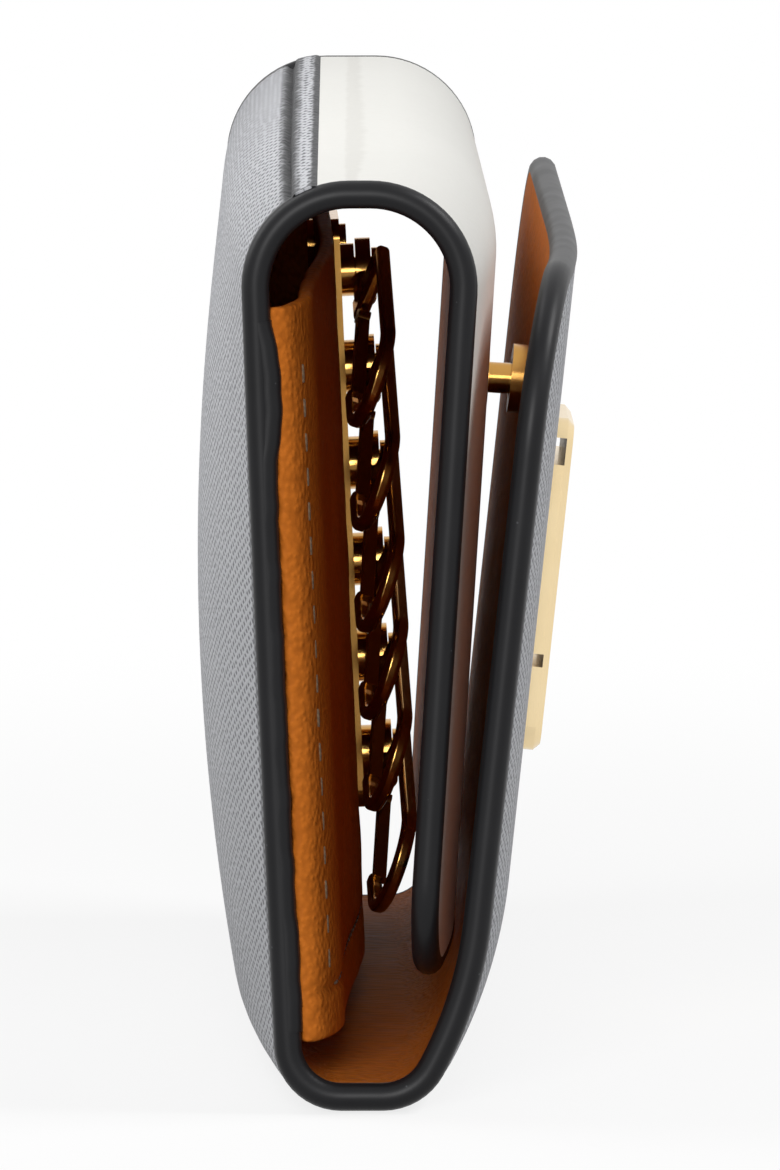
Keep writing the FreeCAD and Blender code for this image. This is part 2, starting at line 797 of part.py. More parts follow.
posts = []
pivot_along = bar_along - size("post_row_offset")
for number, droop in enumerate(HOOK_DROOPS, start=1):
    up = row_up + ((len(HOOK_DROOPS) + 1) / 2 - number) * size("hook_pitch")
    foot = on_panel(bar_away + size("bar_thickness"), pivot_along, up)
    posts.append(placed(f"post_{number}", post, facing_panel(foot)))
    pivot = on_panel(bar_away + size("bar_thickness") + hook_plane, pivot_along, up)
    frame = facing_panel(pivot, droop)
    group_node(f"hook_{number}", [hook], frame)
    gate_frame = frame.multiply(gate_in_hook)
    group_node(f"hook_gate_{number}", [gate], gate_frame)
    print("hook", number, "pivot", pivot, "axis", frame.Rotation.multVec(Vector(0, 0, 1)))
    print("gate", number, "pivot", gate_frame.Base, "axis", gate_frame.Rotation.multVec(Vector(0, 0, 1)))
group_node("hook_posts", posts)

# Clasp plate, with X along the case, Y up the flap and Z out of it

clasp = new_body("clasp_plate")
clasp_corners = [
    ("- clasp_half_width", "- clasp_half_height"),
    ("clasp_half_width", "- clasp_half_height"),
    ("clasp_half_width", "clasp_half_height"),
    ("- clasp_half_width", "clasp_half_height"),
]
pad(clasp, outline_sketch(clasp, "XY_Plane", "clasp_outline", clasp_corners), "clasp_thickness")
dress(clasp, "Fillet", "clasp_corner_radius",
      lambda middle, edge: abs(edge.tangentAt(edge.FirstParameter).z) > 0.9)
dress(clasp, "Chamfer", "clasp_bevel",
      lambda middle, edge: middle.z > size("clasp_thickness") - 0.01)
upper_edge = "clasp_half_height - clasp_upper_notch_drop"
lower_edge = "- clasp_half_height + clasp_lower_notch_rise"
notch_spans = [
    (f"{upper_edge} - clasp_upper_notch", upper_edge),
    (lower_edge, f"{lower_edge} + clasp_lower_notch"),
]
for number, (low, high) in enumerate(notch_spans, start=1):
    notch = [
        (low, "- clasp_notch_depth"),
        (high, "- clasp_notch_depth"),
        (high, "clasp_notch_depth"),
        (low, "clasp_notch_depth"),
    ]
    through_pocket(clasp, outline_sketch(clasp, "YZ_Plane", f"clasp_notch_{number}", notch))
clasp.Placement = flap_frame(clasp_seat, flap_out)
node(clasp, "clasp_plate")

clasp_rivet = drum("clasp_rivet", "clasp_rivet_radius", "leather_thickness + interlining_thickness")
group_node("clasp_rivets", [
    placed(f"clasp_rivet_{number}", clasp_rivet, flap_frame(place - flap_out * board_depth, flap_out))
    for number, place in enumerate(clasp_rivet_places, start=1)
])
solid_node("clasp_backing", drilled(backing_plate(0), *clasp_holes))

# Snap: the stud stands on the white leather, the socket on the outer flap's lining

stud_height = lining_gap - size("snap_end_gap")
stud_disc = drum("stud_disc", "snap_disc_radius", "snap_disc_thickness")
stud_post = drum("stud_post", "snap_stud_radius", "snap_disc_thickness")
stud_post.setExpression("Height", None)
stud_post.Height = stud_height
stud_shank = drum("stud_shank", "eyelet_radius", "leather_thickness + interlining_thickness + lining_thickness",
                  Vector(0, 0, -wall))
group_node("snap_stud", [fused("stud", [stud_disc, stud_post, stud_shank])], flap_frame(snap_seat, snap_out))
group_node(
    "snap_stud_cap",
    [drum("stud_cap", "cap_radius", "cap_thickness")],
    flap_frame(snap_seat - snap_out * (wall + size("seat_gap") + size("cap_thickness")), snap_out),
)
socket_frame = flap_frame(socket_point - flap_out * size("seat_gap"), flap_out)
socket_ring = less(
    "socket_ring",
    drum("socket_disc", "socket_radius", "socket_height", Vector(0, 0, -size("socket_height"))),
    drum("socket_bore", "snap_stud_radius + socket_bore_clearance", "socket_height",
         Vector(0, 0, -size("socket_height"))),
)
group_node("snap_socket", [socket_ring], socket_frame)
eyelet_flange = drum("eyelet_flange", "snap_stud_radius + socket_bore_clearance", "eyelet_flange_thickness",
                     Vector(0, 0, -size("eyelet_flange_thickness")))
eyelet_shank = drum("eyelet_shank", "eyelet_radius", "interlining_thickness + lining_thickness")
group_node("snap_socket_eyelet", [fused("eyelet", [eyelet_flange, eyelet_shank])], socket_frame)

doc.recompute()
os.makedirs("parts", exist_ok=True)
for thing in doc.Objects:
    if "Invalid" in thing.State or "Error" in thing.State:
        raise RuntimeError(f"{thing.Label} did not build: {thing.State}")
for thing in NODES:
    shape = thing.Shape
    if shape.isNull() or not shape.isValid():
        raise RuntimeError(f"{thing.Label} has no sound shape")
    shape.exportStep(f"parts/{thing.Label}.step")
    print(thing.Label, len(shape.Solids), round(shape.Volume, 2))
print("lower hinge", size("base_hinge_offset"), "upper hinge", top_hinge)
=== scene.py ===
"""Leather key case: the looks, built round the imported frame.

Frame: +X towards the clasp, +Y along the folds, +Z up, in metres.
"""

import math

import bmesh
import bpy
from mathutils import Matrix, Vector, noise
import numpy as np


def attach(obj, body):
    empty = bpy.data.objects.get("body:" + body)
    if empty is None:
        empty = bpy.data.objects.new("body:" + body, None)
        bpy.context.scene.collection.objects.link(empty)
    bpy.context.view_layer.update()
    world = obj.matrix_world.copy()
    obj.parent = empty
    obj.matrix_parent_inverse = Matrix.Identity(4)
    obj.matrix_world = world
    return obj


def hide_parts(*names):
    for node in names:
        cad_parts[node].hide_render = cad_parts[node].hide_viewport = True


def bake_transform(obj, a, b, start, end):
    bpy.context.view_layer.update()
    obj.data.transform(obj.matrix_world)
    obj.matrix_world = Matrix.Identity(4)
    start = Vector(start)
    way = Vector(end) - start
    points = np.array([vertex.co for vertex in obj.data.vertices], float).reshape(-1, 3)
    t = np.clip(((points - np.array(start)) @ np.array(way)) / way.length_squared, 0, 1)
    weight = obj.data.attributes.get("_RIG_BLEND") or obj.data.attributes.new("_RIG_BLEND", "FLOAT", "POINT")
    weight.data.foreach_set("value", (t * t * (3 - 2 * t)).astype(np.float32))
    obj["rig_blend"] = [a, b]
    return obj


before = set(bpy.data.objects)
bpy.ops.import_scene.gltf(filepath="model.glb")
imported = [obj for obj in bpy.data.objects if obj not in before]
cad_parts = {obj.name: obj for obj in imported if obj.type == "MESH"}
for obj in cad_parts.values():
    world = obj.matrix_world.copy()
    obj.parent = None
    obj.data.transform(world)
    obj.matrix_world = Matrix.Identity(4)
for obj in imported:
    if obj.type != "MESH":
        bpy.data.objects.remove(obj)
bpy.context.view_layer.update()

MM = 0.001

# Sizes of the folded strip, as in the part's source. The leather takes in the board behind it.
HALF_LENGTH = 55.0 * MM
HEIGHT = 70.0 * MM
HEAD_BULGE, FOOT_BULGE, BACK_BARREL, BACK_BULGE_POWER = 0.9 * MM, 2.7 * MM, 2.3 * MM, 2
FRONT_BULGE, FRONT_BULGE_POWER = 2.5 * MM, 3
EDGE_COAT = 0.8 * MM
LEATHER = 1.2 * MM
LINING = 0.8 * MM
WALL = LEATHER + LINING
BASE_BACK, BASE_FRONT = -0.9 * MM, 2.0 * MM
BACK_BEND, TOP_BEND, TOP_HALF_FLAT = 5.0 * MM, 8.0 * MM, 0.7 * MM
SEAM_NEAR, SEAM_FAR = -2.8 * MM, -0.9 * MM
INNER_TIP, INNER_CORNER = 9.3 * MM, 8.0 * MM
FRONT_BEND, FRONT_SWEEP = 5.1 * MM, 32.0 * MM
SWEEP_START, FLAP_LEAN, FLAP_TIP, FLAP_CORNER = 28.0, 6.1, 62.8 * MM, 13.0 * MM
BACK_LEAN_OFFSET, INNER_LEAN_OFFSET = 2.48 * MM, 3.3 * MM
INNER_LEAN = math.degrees(math.atan(INNER_LEAN_OFFSET / (HEIGHT - TOP_BEND - INNER_TIP)))
POCKET_THICK, POCKET_RISE = 1.2 * MM, 4.4 * MM
POCKET_FOOT, POCKET_HEIGHT = 0.2 * MM, 55.5 * MM

# How finely the strips and their painted edges are divided
FINE_STEP, BEND_STEP, LONG_STEP = 0.2 * MM, 0.7 * MM, 2.0 * MM
LONG_STAGE = 20 * MM
STRIP_COLUMNS, CORNER_ROWS = 96, 20
BEAD_TURN_STEP, BEAD_HALF_TIP_STEPS = 5, 20
STRIP_SMOOTH_ANGLE, PIECE_SMOOTH_ANGLE = math.radians(40), math.radians(50)
TINY_LENGTH, TINY_DEGREES = 1e-9, 1e-6


def sine(degrees):
    """Sine of an angle in degrees."""
    return math.sin(math.radians(degrees))


def cosine(degrees):
    """Cosine of an angle in degrees."""
    return math.cos(math.radians(degrees))


def heading(degrees):
    """Unit vector across the case, 0 along +X and 90 along +Z."""
    return Vector((cosine(degrees), 0, sine(degrees)))


def back_share(y):
    """How much of its bulge the back has at a place along the case."""
    return 1 - min(1.0, abs(y) / HALF_LENGTH) ** BACK_BULGE_POWER


def front_bulge(y):
    """How far the flaps stand out: not at the near end, and fully from the middle to the far end."""
    return FRONT_BULGE * (1 - min(1.0, max(0.0, -y / HALF_LENGTH)) ** FRONT_BULGE_POWER)


class Back:
    """The back panel at one place along the case: straight at its ends, a barrel between."""

    def __init__(self, y):
        share, straight = back_share(y), HEIGHT - BACK_BEND - TOP_BEND
        self.foot_bulge = FOOT_BULGE * share
        offset = BACK_LEAN_OFFSET + (HEAD_BULGE - FOOT_BULGE) * share
        self.lean = math.degrees(math.asin(offset / straight))
        self.curve = math.degrees(4 * BACK_BARREL * share / straight)
        foot_lean, head_lean = self.lean + self.curve, self.lean - self.curve
        rise = HEIGHT - BACK_BEND * (1 - sine(foot_lean)) - TOP_BEND * (1 + sine(head_lean))
        self.chord = rise / cosine(self.lean)
        self.up = Vector((-sine(self.lean), 0, cosine(self.lean)))
        self.inward = Vector((cosine(self.lean), 0, sine(self.lean)))
        foot_x = BASE_BACK - self.foot_bulge - BACK_BEND * cosine(foot_lean)
        self.foot = Vector((foot_x, 0, BACK_BEND * (1 - sine(foot_lean))))
        self.top_left = (self.foot + self.up * self.chord).x + TOP_BEND * cosine(head_lean)
        self.bottom_bend = ("bend", BACK_BEND, 90 - foot_lean)
        self.top_turn = 90 + head_lean

    def panel(self, share=1.0):
        """The step along the whole panel, or along a share of it."""
        if self.curve < TINY_DEGREES:
            return ("run", self.chord * share)
        return ("bend", self.chord / 2 / sine(self.curve), 2 * self.curve * share)

    def middle(self):
        """Point on the outer face, half way up the panel."""
        half_chord = self.chord / 2
        sag = half_chord * math.tan(math.radians(self.curve / 2))
        return self.foot + self.up * half_chord - self.inward * sag


BACK_END = Back(HALF_LENGTH)
TOP_HINGE = BACK_END.top_left + TOP_HALF_FLAT
INNER_DROP = HEIGHT - TOP_BEND * (1 + sine(INNER_LEAN)) - INNER_TIP
FLAP_RISE = FLAP_TIP - FRONT_BEND * (1 - sine(SWEEP_START))
FLAP_RISE -= FRONT_SWEEP * (sine(SWEEP_START) - sine(FLAP_LEAN))


# Folded strips

def seam_x(y):
    """Where the seam crosses the top, which it does a little askew."""
    share = (y / HALF_LENGTH + 1) / 2
    return SEAM_NEAR + (SEAM_FAR - SEAM_NEAR) * share


def seam_turn(y):
    """Degrees of the top bend between the seam and the flat top, and the flat behind the seam."""
    past_flat = Back(y).top_left - seam_x(y)
    if past_flat <= 0:
        return 0.0, -past_flat
    return math.degrees(math.asin(past_flat / TOP_BEND)), 0.0


def reach(step):
    """Length of a step, ("run", length) or ("bend", radius, degrees)."""
    return step[1] if step[0] == "run" else step[1] * math.radians(step[2])


class Fold:
    """The line that a strip of the wall follows at one place along the case.

    It is made of stages, each a list of steps. Every bend turns towards the
    inside of the case, which is on the left (turn +1) or right (-1).
    """

    def __init__(self, start, angle, stages, turn):
        self.start, self.angle, self.turn = start, angle, turn
        self.steps = [step for stage in stages for step in stage]
        self.marks = [0.0]
        for stage in stages:
            self.marks.append(self.marks[-1] + sum(reach(step) for step in stage))

    def at(self, along, depth=0.0):
        """Point at a distance along the outer face, moved into the wall by a depth."""
        place, angle = self.start.copy(), self.angle
        for step in self.steps:
            part = min(along, reach(step))
            if step[0] == "run":
                place = place + heading(angle) * part
            else:
                centre = place + heading(angle + 90 * self.turn) * step[1]
                angle += self.turn * math.degrees(part / step[1])
                place = centre - heading(angle + 90 * self.turn) * step[1]
            along -= part
            if along <= TINY_LENGTH:
                break
        return place + heading(angle + 90 * self.turn) * depth


def lower_stages(y):
    """From the foot of the back panel, round the lower fold, to the outer flap's tip."""
    return [
        [Back(y).bottom_bend],
        [("run", BASE_FRONT - BASE_BACK + Back(y).foot_bulge + front_bulge(y))],
        [("bend", FRONT_BEND, 90 - SWEEP_START), ("bend", FRONT_SWEEP, SWEEP_START - FLAP_LEAN)],
        [("run", FLAP_RISE / cosine(FLAP_LEAN))],
    ]


INNER_STAGES = [
    [("bend", TOP_BEND, 90 + INNER_LEAN)],
    [("run", INNER_DROP / cosine(INNER_LEAN))],
]


def seam_point(y):
    """Place of the seam on the outer face."""
    turn, _ = seam_turn(y)
    return Vector((seam_x(y), 0, HEIGHT - TOP_BEND * (1 - cosine(turn))))


def outside_lower(y):
    """From the seam, down the back and up to the outer flap's tip."""
    back = Back(y)
    turn, flat = seam_turn(y)
    stages = [[("run", flat), ("bend", TOP_BEND, back.top_turn - turn)], [back.panel()]]
    return Fold(seam_point(y), 180 + turn, stages + lower_stages(y), 1)


def outside_upper(y):
    """From the seam, over the top, to the inner flap's tip."""
    turn, _ = seam_turn(y)
    flat = TOP_HINGE + TOP_HALF_FLAT + front_bulge(y) - max(seam_x(y), Back(y).top_left)
    stages = [[("bend", TOP_BEND, turn), ("run", flat)]]
    return Fold(seam_point(y), turn, stages + INNER_STAGES, -1)


def half_lower(y):
    """From the middle of the back, down and up to the outer flap's tip."""
    back = Back(y)
    return Fold(back.middle(), 270 + back.lean, [[back.panel(0.5)]] + lower_stages(y), 1)


def half_upper(y):
    """From the middle of the back, over the top, to the inner flap's tip."""
    back = Back(y)
    flat = TOP_HINGE + TOP_HALF_FLAT + front_bulge(y) - back.top_left
    stages = [[back.panel(0.5)], [("bend", TOP_BEND, back.top_turn)], [("run", flat)]]
    return Fold(back.middle(), 90 + back.lean, stages + INNER_STAGES, -1)


class Strip:
    """The folds at every place along the case, and the rounding of the flap at their end.

    Distances are those of the near end. From the start up to even they are the
    same everywhere, and beyond that each stage stretches to its own length.
    """

    def __init__(self, fold, corner, even=0.0):
        self.fold, self.corner, self.even = fold, corner, even
        self.marks = self.marks_at(-HALF_LENGTH)
        self.length = self.marks[-1]

    def marks_at(self, y):
        """Distances at which the stages end, at one place along the case."""
        marks = self.fold(y).marks
        return marks[:1] + [self.even] + marks[1:] if self.even else marks

    def at(self, along, y, depth=0.0):
        """Point at a distance along the strip and a place along the case, at a depth in the wall."""
        marks = self.marks_at(y)
        spans = zip(self.marks, self.marks[1:], marks, marks[1:])
        for low, high, own_low, own_high in spans:
            if along <= high + TINY_LENGTH:
                along = own_low + (along - low) * (own_high - own_low) / (high - low)
                break
        place = self.fold(y).at(along, depth)
        return Vector((place.x, y, place.z))

    def rows(self, inset):
        """Distances at which the strip has a row of points, up to its inset tip."""
        spots = [0.0]
        middle = self.marks_at(0.0)
        for i, (low, high) in enumerate(zip(self.marks, self.marks[1:])):
            longest = max(high - low, middle[i + 1] - middle[i])
            if high <= self.even:
                step = FINE_STEP
            else:
                step = LONG_STEP if longest > LONG_STAGE else BEND_STEP
            count = math.ceil(longest / step)
            spots += [low + (high - low) * (k + 1) / count for k in range(count)]
        tip = self.length - inset
        spots = [spot for spot in spots if spot < tip - self.corner]
        for k in range(CORNER_ROWS + 1):
            turn = k * math.pi / (2 * CORNER_ROWS)
            spots.append(tip - self.corner * (1 - math.sin(turn)))
        return spots


def tip_half_width(from_tip, inset, corner):
    """Half the strip's width near a flap's tip, where its corners are rounded."""
    radius = corner - inset
    if from_tip >= radius:
        return HALF_LENGTH - inset
    rest = radius - max(0.0, from_tip)
    return HALF_LENGTH - corner + math.sqrt(max(0.0, radius * radius - rest * rest))


def only(piece):
    """Make one piece the selected and active one."""
    bpy.ops.object.select_all(action="DESELECT")
    piece.select_set(True)
    bpy.context.view_layer.objects.active = piece


def folded_strip(name, strip, depth, thickness, relief=None):
    """A layer of the wall: one edge, extruded row by row along its fold and thickened."""
    bpy.ops.object.select_all(action="DESELECT")
    bpy.ops.mesh.primitive_plane_add(size=1, location=(0, 0, 0))
    sheet = bpy.context.object
    sheet.name = name
    spots = strip.rows(EDGE_COAT)
    bpy.ops.object.mode_set(mode="EDIT")
    cage = bmesh.from_edit_mesh(sheet.data)
    for vertex in cage.verts:
        vertex.select_set(vertex.co.x > 0)
    cage.select_flush_mode()
    bpy.ops.mesh.delete(type="VERT")
    bpy.ops.mesh.select_all(action="SELECT")
    bpy.ops.mesh.subdivide(number_cuts=STRIP_COLUMNS - 1)
    cage = bmesh.from_edit_mesh(sheet.data)
    cage.verts.layers.float.new("along")
    for before, spot in zip(spots, spots[1:]):
        step = strip.at(spot, 0, depth) - strip.at(before, 0, depth)
        bpy.ops.mesh.extrude_region_move(TRANSFORM_OT_translate={"value": step})
        cage = bmesh.from_edit_mesh(sheet.data)
        along = cage.verts.layers.float["along"]
        for vertex in cage.verts:
            if vertex.select:
                vertex[along] = spot
    cage = bmesh.from_edit_mesh(sheet.data)
    along = cage.verts.layers.float["along"]
    for vertex in cage.verts:
        spot = vertex[along]
        width = tip_half_width(strip.length - EDGE_COAT - spot, EDGE_COAT, strip.corner)
        y = vertex.co.y * 2 * width
        vertex.co = strip.at(spot, y, depth)
        if relief is not None:
            out = (strip.at(spot, y) - strip.at(spot, y, MM)).normalized()
            vertex.co += out * relief(spot, y)
    bpy.ops.mesh.select_all(action="SELECT")
    bpy.ops.mesh.normals_make_consistent(inside=False)
    cage = bmesh.from_edit_mesh(sheet.data)
    cage.normal_update()
    along = cage.verts.layers.float["along"]
    inward = 0.0
    for face in cage.faces:
        spot = face.verts[0][along]
        inward += face.normal.dot(strip.at(spot, 0, MM) - strip.at(spot, 0))
    if inward > 0:
        bpy.ops.mesh.flip_normals()
    bmesh.update_edit_mesh(sheet.data)
    bpy.ops.object.mode_set(mode="OBJECT")
    lay_uv(sheet)
    thicken = sheet.modifiers.new("thickness", "SOLIDIFY")
    thicken.thickness = thickness
    thicken.offset = -1
    only(sheet)
    bpy.ops.object.modifier_apply(modifier=thicken.name)
    bpy.ops.object.shade_smooth_by_angle(angle=STRIP_SMOOTH_ANGLE)
    return sheet


def lay_uv(strip):
    """Lay the strip flat in its UV map, in metres: along the case, then along the fold."""
    mesh = strip.data
    spots = mesh.attributes["along"].data
    flat = mesh.uv_layers.new(name="flat")
    for loop in mesh.loops:
        vertex = mesh.vertices[loop.vertex_index]
        flat.data[loop.index].uv = (vertex.co.y, spots[loop.vertex_index].value)


def paint_bead(name, points, radius, roundness):
    """A round bead of edge paint through a row of points."""
    line = bpy.data.curves.new(name, "CURVE")
    line.dimensions = "3D"
    line.bevel_depth = radius
    line.bevel_resolution = roundness
    line.use_fill_caps = True
    spline = line.splines.new("POLY")
    spline.points.add(len(points) - 1)
    for point, place in zip(spline.points, points):
        point.co = (*place, 1)
    piece = bpy.data.objects.new(name, line)
    bpy.context.scene.collection.objects.link(piece)
    only(piece)
    bpy.ops.object.convert(target="MESH")
    piece = bpy.context.object
    piece.name = name
    bpy.ops.object.shade_smooth_by_angle(angle=PIECE_SMOOTH_ANGLE)
    return piece


def edge_bead(name, strip, radius):
    """Painted edge: along the near end, round the flap's tip and back along the far end."""
    end, tip_side = strip.length - strip.corner, HALF_LENGTH - strip.corner
    bow = strip.corner - radius
    route = [(spot, HALF_LENGTH - radius) for spot in strip.rows(0.0) if spot < end]
    for degrees in range(0, 91, BEAD_TURN_STEP):
        turn = math.radians(degrees)
        route.append((end + bow * math.sin(turn), tip_side + bow * math.cos(turn)))
    tip_places = [tip_side * (k / BEAD_HALF_TIP_STEPS - 1) for k in range(1, 2 * BEAD_HALF_TIP_STEPS)]
    tip = [(strip.length - radius, y) for y in tip_places]
    near = [(along, -y) for along, y in route]
    far = list(reversed(route))
    points = [strip.at(along, y, WALL / 2) for along, y in near + tip + far]
    return paint_bead(name, points, radius, roundness=5)


# Shader maths

class Mat:
    """A material's node tree, with a method that adds any node."""

    def __init__(self, name, **sockets):
        self.material = bpy.data.materials.new(name)
        self.material.use_nodes = True
        self.tree = self.material.node_tree
        self.shader = self.tree.nodes["Principled BSDF"]
        self.feed(self.shader, sockets)

    def feed(self, node, sockets):
        """Set or link a node's sockets, each given by its name or, as in _0, by its number."""
        for key, value in sockets.items():
            by_number = key.startswith("_")
            socket = node.inputs[int(key[1:]) if by_number else key.replace("_", " ")]
            if isinstance(value, Value):
                self.tree.links.new(value.socket, socket)
            else:
                socket.default_value = value

    def add(self, kind, settings=None, out=0, **sockets):
        """Add a node with its settings and sockets, and give one of its outputs."""
        node = self.tree.nodes.new("ShaderNode" + kind)
        for key, value in (settings or {}).items():
            setattr(node, key, value)
        self.feed(node, sockets)
        return Value(self, node.outputs[out])

    def set(self, **sockets):
        """Feed the main shader."""
        self.feed(self.shader, sockets)
        return self.material


class Value:
    """A socket that takes part in sums."""

    def __init__(self, mat, socket):
        self.mat, self.socket = mat, socket

    def math(self, operation, a, b=None):
        """A Math node on one or two values."""
        sockets = {"_0": a} if b is None else {"_0": a, "_1": b}
        return self.mat.add("Math", {"operation": operation}, **sockets)

    def __add__(self, other):
        return self.math("ADD", self, other)

    __radd__ = __add__

    def __mul__(self, other):
        return self.math("MULTIPLY", self, other)

    __rmul__ = __mul__

    def __sub__(self, other):
        return self.math("SUBTRACT", self, other)

    def __rsub__(self, other):
        return self.math("SUBTRACT", other, self)

    def smooth(self, low, high):
        """0 below low, 1 above high, with a soft step between."""
        return self.mat.add("MapRange", {"interpolation_type": "SMOOTHSTEP"},
                            Value=self, From_Min=low, From_Max=high)

    def band(self, middle, half):
        """1 at a middle value, falling to 0 at half a width to either side."""
        return 1 - self.math("ABSOLUTE", self - middle).smooth(half * 0.3, half)


def colour(red, green, blue):
    """Linear colour from the 0 to 255 values of a screen."""
    parts = []
    for part in (red, green, blue):
        dark = part < 10.3
        parts.append(part / 255 / 12.92 if dark else ((part / 255 + 0.055) / 1.055) ** 2.4)
    return (*parts, 1.0)


OBJECT_PLACE = 3  # the Object output of Texture Coordinate


def object_place(mat):
    """Place on the piece, in metres of the shared frame."""
    return mat.add("TexCoord", out=OBJECT_PLACE)


def mix(mat, factor, first, second):
    """The first colour where the factor is 0, the second where it is 1."""
    return mat.add("Mix", {"data_type": "RGBA"}, out=2, Factor=factor, _6=first, _7=second)


def flat_uv(mat):
    """Place on a strip laid flat: along the case, then along the fold."""
    return mat.add("UVMap", {"uv_map": "flat"})


def split(mat, vector):
    """The three parts of a vector."""
    parts = mat.add("SeparateXYZ", Vector=vector)
    node = parts.socket.node
    return [Value(mat, node.outputs[i]) for i in range(3)]


def grained_leather(name):
    """Grey leather pressed with a fine crossed grain, with a groove and a dark edge at the seam, painted
    shade in the grain's valleys and pits, and a painted shade band beside the painted edge at each end.
    """
    line_slope, line_rate, line_wander = 0.36, 7800.0, 5.0
    crease_at, crease_half, crease_wander = 53.5 * MM, 0.6 * MM, 0.5 * MM
    groove_at, groove_half, groove_wander = 2.75 * MM, 1.15 * MM, 0.9 * MM
    edge_dark, edge_clear = 0.6 * MM, 0.95 * MM
    mat = Mat(name, Specular_IOR_Level=0.2, Sheen_Weight=0.08, Sheen_Roughness=0.4)
    flat = flat_uv(mat)
    across, along, _ = split(mat, flat)
    hatch = []
    for lean in (1.0, -1.0):
        wander = mat.add("TexNoise", Vector=flat, Scale=700.0, Detail=2.0)
        stripe = (across * lean * line_slope + along) * line_rate + wander * line_wander
        hatch.append(stripe.math("SINE", stripe))
    grain = hatch[0].math("MAXIMUM", hatch[0], hatch[1])
    cells = mat.add("TexVoronoi", Vector=flat, Scale=1500.0)
    height = grain * 0.35 + cells * 0.8
    cloud = mat.add("TexNoise", Vector=flat, Scale=60.0, Detail=3.0)
    # Painted shade: the grain's valleys and pits are coloured darker, where shade falls between its ridges.
    shaded_pits = (0.55 - cells).smooth(0.0, 0.45)
    shaded_valleys = 1 - grain.smooth(-0.5, 0.6)
    dark = shaded_valleys * 0.9 + shaded_pits * 0.12
    base = mix(mat, cloud, colour(190, 191, 196), colour(202, 203, 207))
    base = mix(mat, dark, base, colour(80, 81, 87))
    # Painted shade: a dark band near each end of the case, for the shade in the crease between the leather
    # and its painted edge.
    uneven = mat.add("TexNoise", Vector=flat, Scale=260.0, Detail=3.0)
    from_middle = across.math("ABSOLUTE", across)
    shaded_crease = (from_middle + uneven * crease_wander).band(crease_at, crease_half)
    base = mix(mat, shaded_crease * 0.75, base, colour(30, 30, 34))
    ragged = mat.add("TexNoise", Vector=flat, Scale=900.0, Detail=3.0) * groove_wander
    groove = (along + ragged).band(groove_at, groove_half)
    edge = 1 - (along + ragged * 0.6).smooth(edge_dark, edge_clear)
    shade = groove.math("MAXIMUM", groove, edge)
    base = mix(mat, shade, base, colour(24, 25, 29))
    height = height - shade * 0.6
    rough = 0.52 + cells * 0.2
    bump = mat.add("Bump", Height=height, Strength=0.5, Distance=0.12 * MM)
    return mat.set(Base_Color=base, Roughness=rough, Normal=bump)


def smooth_leather(name):
    """Off-white leather with a faint grain and a pressed line beside the seam, with painted shade along that
    line.
    """
    crease_at, crease_half, crease_wander = 2.75 * MM, 0.55 * MM, 0.5 * MM
    mat = Mat(name, Specular_IOR_Level=0.25, Sheen_Weight=0.05, Sheen_Roughness=0.4)
    flat = flat_uv(mat)
    _, along, _ = split(mat, flat)
    pores = mat.add("TexVoronoi", Vector=flat, Scale=2600.0)
    cloud = mat.add("TexNoise", Vector=flat, Scale=45.0, Detail=4.0)
    ragged = mat.add("TexNoise", Vector=flat, Scale=220.0, Detail=2.0) * crease_wander
    shaded_crease = (along + ragged).band(crease_at, crease_half)
    base = mix(mat, cloud, colour(221, 220, 215), colour(228, 227, 222))
    # Painted shade: the pressed line is also coloured a little darker, besides its dip in the bump.
    base = mix(mat, shaded_crease * 0.5, base, colour(205, 203, 197))
    height = pores * 0.5 + cloud * 0.6 - shaded_crease
    bump = mat.add("Bump", Height=height, Strength=0.22, Distance=0.12 * MM)
    return mat.set(Base_Color=base, Roughness=0.5 + pores * 0.15, Normal=bump)


def lining_leather(name, read_place):
    """Tan calf lining with a soft pebbled grain and painted shade in the hollows between its pebbles, on
    places read from the piece.
    """
    mat = Mat(name, Specular_IOR_Level=0.04)
    place = read_place(mat)
    pebbles = mat.add("TexVoronoi", {"feature": "SMOOTH_F1"}, Vector=place, Scale=1900.0)
    wrinkles = mat.add("TexNoise", Vector=place, Scale=420.0, Detail=5.0, Roughness=0.6)
    cloud = mat.add("TexNoise", Vector=place, Scale=50.0, Detail=3.0)
    base = mix(mat, cloud, colour(196, 106, 32), colour(212, 122, 44))
    # Painted shade: the hollows between the pebbles are coloured darker brown.
    base = mix(mat, (pebbles * 1.6).smooth(0.5, 1.0) * 0.22, base, colour(130, 64, 16))
    height = wrinkles * 0.6 - pebbles * 0.9
    bump = mat.add("Bump", Height=height, Strength=0.8, Distance=0.22 * MM)
    return mat.set(Base_Color=base, Roughness=0.5 + wrinkles * 0.2, Normal=bump)


def edge_paint(name):
    """Charcoal edge paint, satin, a little uneven."""
    mat = Mat(name, Specular_IOR_Level=0.16, Coat_Roughness=0.35)
    place = object_place(mat)
    cloud = mat.add("TexNoise", Vector=place, Scale=260.0, Detail=4.0)
    specks = mat.add("TexVoronoi", Vector=place, Scale=420.0)
    base = mix(mat, cloud, colour(21, 21, 23), colour(28, 28, 30))
    base = mix(mat, 1 - specks.smooth(0.02, 0.05), base, colour(70, 71, 74))
    bump = mat.add("Bump", Height=cloud, Strength=0.2, Distance=0.1 * MM)
    return mat.set(Base_Color=base, Roughness=0.34 + cloud * 0.16, Coat_Weight=0.05, Normal=bump)


def polished_metal(name, pale, deep, roughness):
    """Gold plate with fine polishing marks and a slightly deeper tone in places."""
    mat = Mat(name, Metallic=1.0)
    place = object_place(mat)
    cloud = mat.add("TexNoise", Vector=place, Scale=180.0, Detail=3.0)
    stretch = mat.add("Mapping", Vector=place, Scale=(1.0, 1.0, 14.0))
    marks = mat.add("TexNoise", Vector=stretch, Scale=1500.0, Detail=2.0)
    base = mix(mat, cloud, pale, deep)
    bump = mat.add("Bump", Height=marks, Strength=0.01, Distance=0.05 * MM)
    return mat.set(Base_Color=base, Roughness=roughness + marks * 0.08, Normal=bump)


